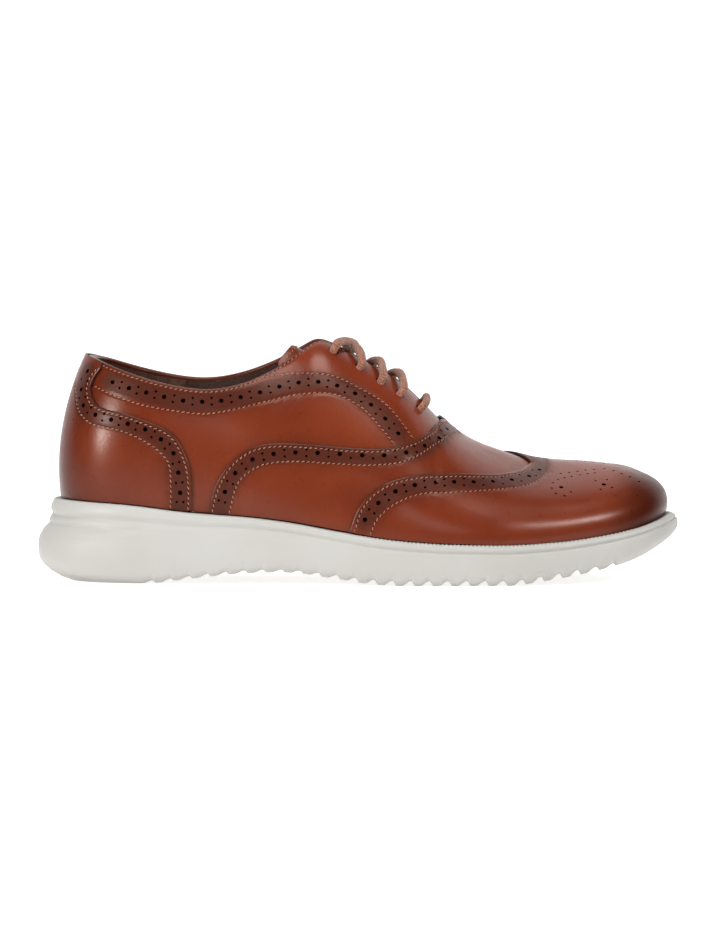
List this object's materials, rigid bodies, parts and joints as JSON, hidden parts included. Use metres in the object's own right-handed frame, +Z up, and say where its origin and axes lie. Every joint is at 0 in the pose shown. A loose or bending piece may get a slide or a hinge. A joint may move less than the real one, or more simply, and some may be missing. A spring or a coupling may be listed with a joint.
{
  "type": "wing-tip oxford shoe",
  "caption": "Right-foot leather wing-tip oxford with closed lacing, brogued panel edges, a padded collar and a moulded foam sole with a serrated tread.",
  "frame": {"origin": "centre of the shoe's overall box in X and Y, on the ground under the tread", "axes": "+X towards the toe, +Y towards the medial side (the other foot), +Z up"},
  "size_m": [0.3044, 0.1122, 0.1146],
  "materials": {
    "upper_leather": "burnished, semi-gloss",
    "lining_textile": "brushed textile",
    "suede": "suede nap",
    "fibreboard": "pressed fibre, matt",
    "sole_foam": "moulded foam, matt",
    "lace_cord": "woven, waxed",
    "aglet_film": "gloss film",
    "eyelet_metal": "aged"
  },
  "bodies": {
    "shoe": {"sole_unit": "sole_foam", "insole_board": "fibreboard", "sock_liner": "suede", "vamp_lining": "lining_textile", "toe_puff": "fibreboard", "heel_stiffener": "fibreboard", "collar_pad": "lining_textile", "heel_grip": "suede", "vamp": "upper_leather", "wing_cap": "upper_leather", "heel_counter": "upper_leather", "quarter_lateral": "upper_leather", "facing_stay_lateral": "lining_textile", "quarter_lining_lateral": "lining_textile", "eyelet_lateral_1": "eyelet_metal", "eyelet_lateral_2": "eyelet_metal", "eyelet_lateral_3": "eyelet_metal", "eyelet_lateral_4": "eyelet_metal", "eyelet_lateral_5": "eyelet_metal", "quarter_medial": "upper_leather", "facing_stay_medial": "lining_textile", "quarter_lining_medial": "lining_textile", "eyelet_medial_1": "eyelet_metal", "eyelet_medial_2": "eyelet_metal", "eyelet_medial_3": "eyelet_metal", "eyelet_medial_4": "eyelet_metal", "eyelet_medial_5": "eyelet_metal", "lace": "lace_cord", "aglet_lateral": "aglet_film", "aglet_medial": "aglet_film"},
    "tongue": {"tongue": "upper_leather", "tongue_lining": "lining_textile"}
  },
  "joints": [
    {"name": "tongue_hinge", "type": "hinge", "parent": "shoe", "child": "tongue", "pos_m": [0.0427, 0, 0.056], "axis": [0, 1, 0], "range_deg": [-10, 0], "stiffness_Nm_per_rad": 0.2, "springref_deg": 5.73}
  ]
}
